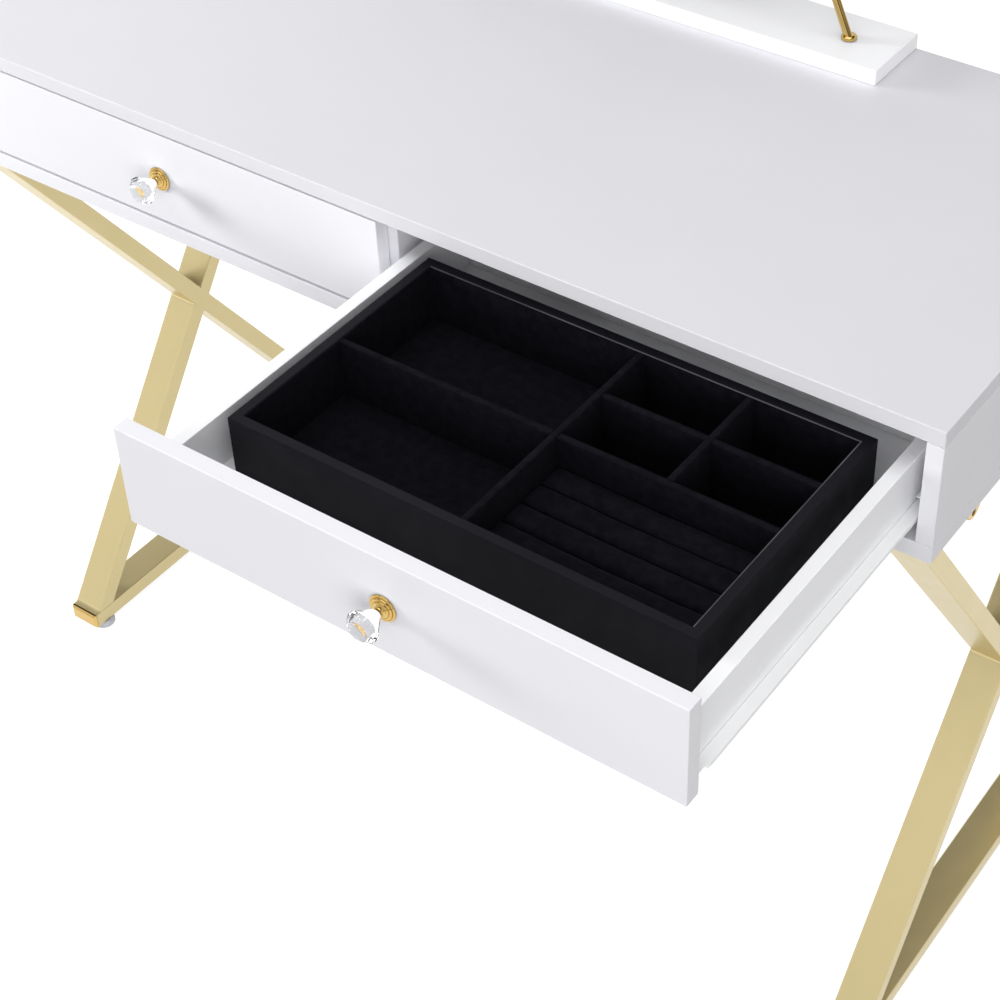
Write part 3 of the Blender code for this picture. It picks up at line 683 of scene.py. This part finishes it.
def build_knob(side):
    """A turned rosette, a cut crystal and the foil between them."""
    name = side + "_drawer_"
    low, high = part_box(name + "knob_rosette")
    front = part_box(name + "front")[0].y
    place = along((0, -1, 0), ((low.x + high.x) / 2, front, (low.z + high.z) / 2))
    piece(name + "knob_rosette_turned", turned([*KNOB_STUD, *ROSETTE], place, KNOB_STEPS),
          side + "_drawer", "polished_gold", [name + "knob_rosette"], sharp=50)

    foil_heights = (ROSETTE[-1][1] + FOIL_GAP, CRYSTAL_NECK - FOIL_GAP)
    foil = turned([(FOIL_RADIUS, height) for height in foil_heights], place, SMALL_STEPS)
    piece(name + "knob_foil", foil, side + "_drawer", "crystal", finish=FINISHES["mirror_silver"])

    # The crystal is the convex hull of rings of corners, so its facets are true flats.
    shape = bmesh.new()
    for radius, height, corners, turn in CRYSTAL_RINGS:
        for point in circle(radius, height, corners, turn):
            shape.verts.new(place @ point)
    hull = bmesh.ops.convex_hull(shape, input=shape.verts)
    loose = [item for item in hull["geom_unused"] + hull["geom_interior"]
             if isinstance(item, bmesh.types.BMVert)]
    bmesh.ops.delete(shape, geom=loose, context="VERTS")
    bmesh.ops.dissolve_limit(shape, angle_limit=0.01, verts=shape.verts, edges=shape.edges)
    piece(name + "knob_crystal_cut", shape, side + "_drawer", "crystal", [name + "knob_crystal"],
          sharp=1)


def screw_head(place, radius=SCREW_RADIUS, height=SCREW_HEIGHT):
    """A pan head with a round recess in it."""
    return turned([(radius * out, height * up) for out, up in SCREW_HEAD], place, SMALL_STEPS)


def roller(centre, hand):
    """A grooved nylon wheel about X."""
    half = ROLLER_WIDTH / 2
    profile = [(ROLLER_RADIUS * ROLLER_HUB, -half), (ROLLER_RADIUS - ROLLER_EDGE, -half),
               (ROLLER_RADIUS, -half + ROLLER_EDGE), (ROLLER_RADIUS, -half * 0.2),
               (ROLLER_RADIUS * ROLLER_GROOVE, 0.0), (ROLLER_RADIUS, half * 0.2),
               (ROLLER_RADIUS, half - ROLLER_EDGE), (ROLLER_RADIUS - ROLLER_EDGE, half),
               (ROLLER_RADIUS * ROLLER_HUB, half)]
    return turned(profile, along((hand, 0, 0), centre), ROLLER_STEPS)


def build_slides(side):
    """Bent-sheet channels and runners, with the wheels, rivets and screws that they carry."""
    for hand, which in ((-1, "left"), (1, "right")):
        channel = f"{side}_bay_{which}_channel"
        runner = f"{side}_drawer_{which}_runner"
        for node in (channel, runner):
            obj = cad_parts[node]
            painted(obj.data, FINISHES["slide_epoxy"])
            bends = obj.modifiers.new("Bends", "BEVEL")
            bends.width = SLIDE_EDGE
            bends.segments = 2
            bends.limit_method = "ANGLE"
        wall_low, wall_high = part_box(channel)
        run_low, run_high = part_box(runner)
        board_low, board_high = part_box(f"{side}_drawer_{which}_side")
        board_x = board_high.x if hand > 0 else board_low.x
        wheel_x = board_x + hand * (SHEET + ROLLER_SIDE_GAP + ROLLER_WIDTH / 2)
        ledge_under = run_high.z - SHEET

        # The cabinet's wheel stands at the channel's front end, under the drawer's ledge.
        front = Vector((wheel_x, wall_low.y + ROLLER_FROM_END,
                        ledge_under - ROLLER_RADIUS - ROLLER_GAP))
        wall_x = wall_high.x if hand > 0 else wall_low.x
        axle = turned([(AXLE_RADIUS, 0.0), (AXLE_RADIUS, abs(wall_x - wheel_x))],
                      along((hand, 0, 0), front), AXLE_STEPS)
        head = screw_head(along((-hand, 0, 0), front - Vector((hand * ROLLER_WIDTH / 2, 0, 0))),
                          RIVET_RADIUS, RIVET_HEAD)
        piece(channel + "_wheel", roller(front, hand), "root", "white_nylon")
        piece(channel + "_rivet", joined([axle, head]), "root", "slide_epoxy")

        # The drawer's wheel rides near its rear end, inside the channel.
        rear = Vector((wheel_x, run_high.y - REAR_ROLLER_FROM_END,
                       wall_low.z + SHEET + ROLLER_RADIUS + ROLLER_GAP))
        axle = turned([(AXLE_RADIUS, 0.0), (AXLE_RADIUS, abs(wheel_x - board_x) + AXLE_BITE)],
                      along((-hand, 0, 0), rear), AXLE_STEPS)
        head = screw_head(along((hand, 0, 0), rear + Vector((hand * ROLLER_WIDTH / 2, 0, 0))),
                          RIVET_RADIUS, RIVET_HEAD)
        piece(runner + "_wheel", roller(rear, hand), side + "_drawer", "white_nylon")
        piece(runner + "_rivet", joined([axle, head]), side + "_drawer", "slide_epoxy")

        # Screws through the channel into the cabinet's wall, above the drawer's ledge.
        inner_wall = wall_x - hand * SHEET
        height = (run_high.z + wall_high.z - SHEET) / 2
        screws = []
        for share in SCREW_PLACES:
            y = wall_low.y + share * (wall_high.y - wall_low.y)
            screws.append(screw_head(along((-hand, 0, 0), (inner_wall, y, height))))
        piece(channel + "_screws", joined(screws), "root", "slide_epoxy")


def build_drawer(side):
    name, body = side + "_drawer_", side + "_drawer"
    board(name + "front", body)
    # The box's sides, back and bottom take the brighter box white, painted light.
    for part in ("left_side", "right_side", "back"):
        board(name + part, body, DRAWER_EDGE, BOX_FINISH_PAINTED_LIGHT)
    build_knob(side)
    build_slides(side)
    painted(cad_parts[name + "bottom"].data, BOX_FINISH_PAINTED_LIGHT)


# ---------------------------------------------------------------- jewellery tray

def wall_ring(low, high, section):
    """A section of (distance inward, height) points carried round a rectangle, mitred."""
    corners = ((low.x, low.y, 1, 1), (high.x, low.y, -1, 1), (high.x, high.y, -1, -1),
               (low.x, high.y, 1, -1))
    loops = [[(x + sx * inward, y + sy * inward, z) for inward, z in section]
             for x, y, sx, sy in corners]
    return loft(loops, ring=True)


def build_divider(name, low, high, replaced):
    """A card divider wrapped in velvet, so its edges are soft."""
    piece(name, block(low, high), "tray", "black_velvet", replaced, DIVIDER_EDGE)


def build_tray():
    """A board frame lined with velvet, its floor and its dividers."""
    low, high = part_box("tray_frame")
    floor_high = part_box("tray_bottom")[1].z
    section = [(0, low.z), (0, high.z), (TRAY_WALL, high.z), (TRAY_WALL, low.z)]
    piece("tray_frame_walls", wall_ring(low, high, section), "tray", "black_board", ["tray_frame"],
          TRAY_EDGE)
    top = high.z - LINING_DROP
    lining = [(TRAY_WALL - LINING_BITE, floor_high), (TRAY_WALL - LINING_BITE, top),
              (TRAY_WALL + LINING, top), (TRAY_WALL + LINING, floor_high)]
    piece("tray_wall_lining", wall_ring(low, high, lining), "tray", "black_velvet",
          edge=LINING_EDGE)
    inset = TRAY_WALL + LINING / 2
    corners = [Vector((low.x + inset, high.y - inset, top)),
               Vector((high.x - inset, high.y - inset, top)),
               Vector((high.x - inset, low.y + inset, top))]
    # Painted highlights: only the back and right walls get a lighter bead, brightest on the right,
    # where the light catches the lining's edge.
    for side, start, end, highlight_strength in (("back", corners[0], corners[1], 0.25),
                                   ("right", corners[1], corners[2], 0.55)):
        reach = end - start
        bead = [(BEAD_RADIUS, 0.0), (BEAD_RADIUS, reach.length)]
        piece(f"tray_lining_bead_{side}", turned(bead, along(reach, start), BEAD_STEPS), "tray",
              "black_velvet", sharp=50, finish=lining_edge_painted_highlight(side, highlight_strength))

    floor_low, floor_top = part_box("tray_bottom")
    piece("tray_floor", block(floor_low, floor_top), "tray", "black_velvet", ["tray_bottom"],
          TRAY_FLOOR_EDGE)
    for node in ("tray_middle_divider", "tray_left_divider", "tray_right_divider"):
        build_divider(node + "_card", *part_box(node), [node])
    cell_low, cell_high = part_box("tray_cell_divider")
    thick = (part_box("tray_middle_divider")[1].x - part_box("tray_middle_divider")[0].x) / 2
    side_low, side_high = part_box("right_drawer_left_side")[0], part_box("right_drawer_right_side")[1]
    column = (side_low.x + side_high.x) / 2 + CELL_X
    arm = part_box("right_drawer_front")[0].y + CELL_Y
    build_divider("tray_cell_divider_column", Vector((column - thick, cell_low.y, cell_low.z)),
                  Vector((column + thick, cell_high.y, cell_high.z)), ["tray_cell_divider"])
    build_divider("tray_cell_divider_arm", Vector((cell_low.x, arm - thick, cell_low.z)),
                  Vector((cell_high.x, arm + thick, cell_high.z - CROSSING_DROP)),
                  ["tray_cell_divider"])


def roll_mesh(low, high):
    """A foam roll as a voxel mesh: slack, rounded along its top and pulled in at its ends."""
    centre = (low + high) / 2
    half = (high - low) / 2 - Vector((ROLL_START_INSET, ROLL_START_INSET, 0))
    length = Vector((half.x, 0, 0))
    height = (high.z - low.z - ROLL_START_INSET) / 2
    section = rounded_rectangle(half.y, height, ROLL_CORNER, 6)
    loops = []
    for x, inset in ROLL_ENDS:
        share = (half.y - inset) / half.y
        base = Vector((centre.x, centre.y, low.z + height)) + length * x
        loops.append([base + Vector((0, u * share, v * share - height * (1 - share)))
                      for u, v in section])
    obj = temporary(loft(loops))
    remesh = obj.modifiers.new("Remesh", "REMESH")
    remesh.mode = "VOXEL"
    remesh.voxel_size = ROLL_VOXEL
    return applied(obj)


def build_ring_cushion():
    """A row of velvet-covered foam rolls, blown up a little by a cloth simulation."""
    low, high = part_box("ring_cushion")
    edges = [low.y, *(high.y - ROLL_PITCH * roll for roll in reversed(range(ROLLS)))]
    rolls = []
    for near, far in zip(edges, edges[1:]):
        mesh = roll_mesh(Vector((low.x, near, low.z)), Vector((high.x, far, high.z)))
        shape = bmesh.new()
        shape.from_mesh(mesh)
        bpy.data.meshes.remove(mesh)
        rolls.append(shape)
    obj = temporary(joined(rolls))
    mesh = obj.data
    rest = [vertex.co.copy() for vertex in mesh.vertices]
    cloth = obj.modifiers.new("Cloth", "CLOTH")
    cloth.settings.use_pressure = True
    cloth.settings.uniform_pressure_force = ROLL_PRESSURE
    cloth.settings.effector_weights.gravity = 0
    for number in range(1, ROLL_FRAMES + 1):
        bpy.context.scene.frame_set(number)
    graph = bpy.context.evaluated_depsgraph_get()
    blown = [vertex.co.copy() for vertex in obj.evaluated_get(graph).data.vertices]
    obj.modifiers.clear()
    bpy.context.scene.frame_set(1)
    for vertex, start, end in zip(mesh.vertices, rest, blown):
        move = end - start
        if move.length > ROLL_CAP:
            move *= ROLL_CAP / move.length
        vertex.co = start + move
    # Each roll keeps to its own cell of the compartment, and its base stays flat on the floor.
    for vertex, start in zip(mesh.vertices, rest):
        near = max(edge for edge in edges[:-1] if edge <= max(start.y, low.y))
        far = edges[edges.index(near) + 1]
        vertex.co.x = min(max(vertex.co.x, low.x + ROLL_GAP), high.x - ROLL_GAP)
        vertex.co.y = min(max(vertex.co.y, near + ROLL_GAP), far - ROLL_GAP)
        vertex.co.z = min(max(vertex.co.z, low.z), high.z + ROLL_RISE)
        sag = sum(noise.noise(start * scale) * size for scale, size in ROLL_WRINKLES)
        vertex.co.z += sag * (start.z - low.z) / (high.z - low.z)
    smooth = obj.modifiers.new("Subdivision", "SUBSURF")
    smooth.levels = smooth.render_levels = 1
    made = piece("ring_cushion_rolls", applied(obj), "tray", "black_velvet", ["ring_cushion"],
                 sharp=80)


# ---------------------------------------------------------------- mirror and its stand

def build_stand():
    """The two leaning posts and the bar that the mirror tilts on."""
    bar_low, bar_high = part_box("mirror_tilt_bar")
    tilt_z, tilt_y = (bar_low.z + bar_high.z) / 2, (bar_low.y + bar_high.y) / 2
    for side, sign in (("left", -1), ("right", 1)):
        node = "mirror_post_" + side
        low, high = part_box(node)
        foot_x = high.x - FLANGE_RADIUS if sign > 0 else low.x + FLANGE_RADIUS
        ball = high.z - tilt_z
        head_x = low.x + ball if sign > 0 else high.x - ball
        foot, head = Vector((foot_x, tilt_y, low.z)), Vector((head_x, tilt_y, tilt_z))
        profile = [(FLANGE_RADIUS + out, height) for out, height in FLANGE_EDGE]
        profile.append((POST_RADIUS + FLANGE_NECK, FLANGE_HEIGHT))
        foot_plate = turned(profile, Matrix.Translation(foot))
        rise = head - foot
        rod_place = along(rise, foot)
        reach = rise.length
        rod = [(POST_RADIUS, ROD_START),
               *((POST_RADIUS + out, reach + up) for out, up in COLLAR)]
        angles = [math.pi * (i + 0.5) / BALL_STEPS for i in range(BALL_STEPS)]
        globe = [(ball * math.sin(a), -ball * math.cos(a)) for a in angles]
        shapes = [foot_plate, turned(rod, rod_place), turned(globe, along((sign, 0, 0), head))]
        piece(node + "_turned", joined(shapes), "root", "polished_gold", [node])

    # The bar's ends are rounded off into small acorns.
    radius = (bar_high.z - bar_low.z) / 2
    reach = (bar_high.x - bar_low.x) / 2
    half_profile = [(radius, reach - ACORN)]
    for i in range(1, ACORN_STEPS):
        angle = math.pi / 2 * i / ACORN_STEPS
        half_profile.append((radius * math.cos(angle) + ACORN_TIP,
                             reach - ACORN + ACORN * math.sin(angle)))
    profile = [(r, -h) for r, h in reversed(half_profile)] + half_profile
    bar = turned(profile, along((1, 0, 0), (0, tilt_y, tilt_z)), BAR_STEPS)
    piece("mirror_tilt_bar_turned", bar, "root", "polished_gold", ["mirror_tilt_bar"])


def oval(centre, half_x, half_z, y):
    """An upright oval at a depth y."""
    angles = [2 * math.pi * i / OVAL_STEPS for i in range(OVAL_STEPS)]
    return [(centre.x + half_x * math.cos(a), y, centre.z + half_z * math.sin(a)) for a in angles]


def build_mirror():
    """An oval moulding, the bevelled glass in it and the backing board with its pivot."""
    low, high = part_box("mirror_frame")
    centre = (low + high) / 2
    half_x, half_z = (high.x - low.x) / 2, (high.z - low.z) / 2
    depth = high.y - low.y
    # The moulding's section, from its sight edge outward: (inset from the outer edge, depth).
    rim = MIRROR_RIM
    section = [(rim, MIRROR_LIP), *((rim + out, y) for out, y in SIGHT_EDGE)]
    for i in range(MOULDING_STEPS + 1):
        angle = math.pi / 2 * i / MOULDING_STEPS
        section.append(((rim - MOULDING_BEAD) * (1 - math.sin(angle)),
                        MOULDING_ROUND * (1 - math.cos(angle))))
    section += [(inset, depth + y) for inset, y in OUTER_BACK_EDGE]
    section += [(rim - MIRROR_LIP - INNER_BACK_EDGE, depth),
                (rim - MIRROR_LIP, depth - INNER_BACK_EDGE), (rim - MIRROR_LIP, MIRROR_LIP)]
    loops = [oval(centre, half_x - inset, half_z - inset, low.y + y) for inset, y in section]
    piece("mirror_frame_moulding", loft(loops, ring=True), "mirror", "polished_gold",
          ["mirror_frame"])

    low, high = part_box("mirror_glass")
    half_x, half_z = (high.x - low.x) / 2, (high.z - low.z) / 2
    loops = [oval(centre, half_x - inset, half_z - inset, y)
             for inset, y in (*((inset, low.y + y) for inset, y in GLASS_BEVEL),
                              (0.0, high.y - GLASS_BACK_EDGE), (GLASS_BACK_EDGE, high.y))]
    piece("mirror_glass_pane", loft(loops), "mirror", "mirror_silver", ["mirror_glass"], sharp=3)

    low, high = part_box("mirror_backing")
    half_x, half_z = (high.x - low.x) / 2, (high.z - low.z) / 2
    board_back = low.y + BACKING_BOARD
    loops = [oval(centre, half_x - inset, half_z - inset, y)
             for inset, y in ((0.0, low.y), (0.0, board_back - BACKING_CHAMFER),
                              (BACKING_CHAMFER, board_back))]
    disc = loft(loops)
    bar_low, bar_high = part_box("mirror_tilt_bar")
    axis = (bar_low + bar_high) / 2
    half_block = high.y - axis.y
    bore_radius = POST_RADIUS + PIVOT_PLAY
    rim_points, bore_points = [], []
    for i in range(ROUND_STEPS):
        angle = 2 * math.pi * (i + 0.5) / ROUND_STEPS
        c, s = math.cos(angle), math.sin(angle)
        reach = half_block / max(abs(c), abs(s))
        rim_points.append((axis.y + reach * c, axis.z + reach * s))
        bore_points.append((axis.y + bore_radius * c, axis.z + bore_radius * s))
    half_width = PIVOT_HALF_WIDTH
    loops = [[(x, y, z) for y, z in points]
             for x, points in ((-half_width, rim_points), (-half_width, bore_points),
                               (half_width, bore_points), (half_width, rim_points))]
    pivot = loft(loops, ring=True)
    stem = block((-half_width, board_back - PIVOT_STEM_BITE, axis.z - half_block),
                 (half_width, axis.y - half_block + PIVOT_STEM_LAP, axis.z + half_block))
    piece("mirror_backing_board", joined([disc, pivot, stem]), "mirror", "black_board",
          ["mirror_backing"], BACKING_EDGE, 50)


# ---------------------------------------------------------------- stage

def levels(tree, value, stops):
    """A brightness that follows a value through (place, level) stops."""
    made = tree.nodes.new("ShaderNodeValToRGB")
    elements = made.color_ramp.elements
    elements.remove(elements[1])
    elements[0].position = stops[0][0]
    for place, _ in stops[1:]:
        elements.new(place)
    for element, (_, level) in zip(elements, stops):
        element.color = (level, level, level, 1)
    tree.links.new(value, made.inputs["Fac"])
    return made.outputs["Color"]


def area_light(name, place, target, size, power, glossy):
    """A rectangular light that faces its target; glossy says whether polished parts mirror it."""
    data = bpy.data.lights.new(name, "AREA")
    data.shape = "RECTANGLE"
    data.size, data.size_y = size
    data.energy = power
    made = bpy.data.objects.new(name, data)
    made.matrix_world = along(Vector(place) - Vector(target), place)
    made.visible_glossy = glossy
    bpy.context.scene.collection.objects.link(made)
    return made


def screen_key(board):
    """The key light, and a weaker twin of it for the end panel that faces it and would burn out."""
    for name, power, state in (("key", KEY_POWER, "EXCLUDE"),
                               ("screened_key", KEY_POWER * KEY_SCREEN, "INCLUDE")):
        members = bpy.data.collections.new(name + "_members")
        members.objects.link(board)
        members.collection_objects[0].light_linking.link_state = state
        light = area_light(name, *KEY, power, False)
        light.light_linking.receiver_collection = members


def build_stage():
    """The floor, the sky, the lights and the camera."""
    shape = bmesh.new()
    bmesh.ops.create_grid(shape, x_segments=8, y_segments=8, size=FLOOR_REACH)
    mesh = bpy.data.meshes.new("floor")
    shape.to_mesh(mesh)
    shape.free()
    floor = bpy.data.objects.new("floor", mesh)
    bpy.context.scene.collection.objects.link(floor)
    made, tree, shader = shader_of("pale_floor", Roughness=0.9, Specular_IOR_Level=0.0,
                                   Emission_Color=(1, 1, 1, 1), Emission_Strength=FLOOR_GLOW)
    tone = shades(tree, pattern(tree, 1.5), (0.27, 0.27, 0.27), (0.28, 0.28, 0.28))
    tree.links.new(tone, shader.inputs["Base Color"])
    mesh.materials.append(made)
    # The floor glows for the eye and in reflections only, and lights nothing from below.
    floor.visible_diffuse = False

    world = bpy.data.worlds.new("studio")
    world.use_nodes = True
    tree = world.node_tree
    direction = tree.nodes.new("ShaderNodeTexCoord")
    height = tree.nodes.new("ShaderNodeSeparateXYZ")
    tree.links.new(direction.outputs["Generated"], height.inputs["Vector"])
    # The sky starts a little under the horizon, where the floor ends.
    raised = tree.nodes.new("ShaderNodeMath")
    raised.inputs[1].default_value = HORIZON_DIP
    tree.links.new(height.outputs["Z"], raised.inputs[0])
    upper = [(place, share * SKY_ABOVE) for place, share in SKY_DARKENING]
    sky = levels(tree, raised.outputs["Value"], [(0.0, SKY_BELOW), *upper])
    # Polished metal sees a studio of bright and dark bands.
    bands = levels(tree, height.outputs["Z"], REFLECTED_SKY)
    ray = tree.nodes.new("ShaderNodeLightPath")
    seen = tree.nodes.new("ShaderNodeMix")
    tree.links.new(ray.outputs["Is Glossy Ray"], seen.inputs["Factor"])
    tree.links.new(sky, seen.inputs["A"])
    tree.links.new(bands, seen.inputs["B"])
    tree.links.new(seen.outputs["Result"], tree.nodes["Background"].inputs["Color"])
    bpy.context.scene.world = world

    area_light("overhead", *OVERHEAD, OVERHEAD_POWER, True)
    area_light("fill", *FILL, FILL_POWER, False)

    camera = bpy.data.cameras.new("camera")
    camera.lens = CAMERA_LENS
    camera.shift_x, camera.shift_y = CAMERA_SHIFT
    camera.clip_start = 0.05
    holder = bpy.data.objects.new("camera", camera)
    holder.location = CAMERA_PLACE
    holder.rotation_euler = [math.radians(angle) for angle in CAMERA_ANGLES]
    bpy.context.scene.collection.objects.link(holder)
    bpy.context.scene.camera = holder
    view = bpy.context.scene.view_settings
    view.view_transform = "Standard"
    view.look = "None"
    bpy.context.scene.cycles.caustics_reflective = False


build_stage()
build_carcass()
screen_key(bpy.data.objects["left_side_panel_board"])
for side in ("left", "right"):
    build_frame(side)
    build_drawer(side)
build_tray()
build_ring_cushion()
build_stand()
build_mirror()
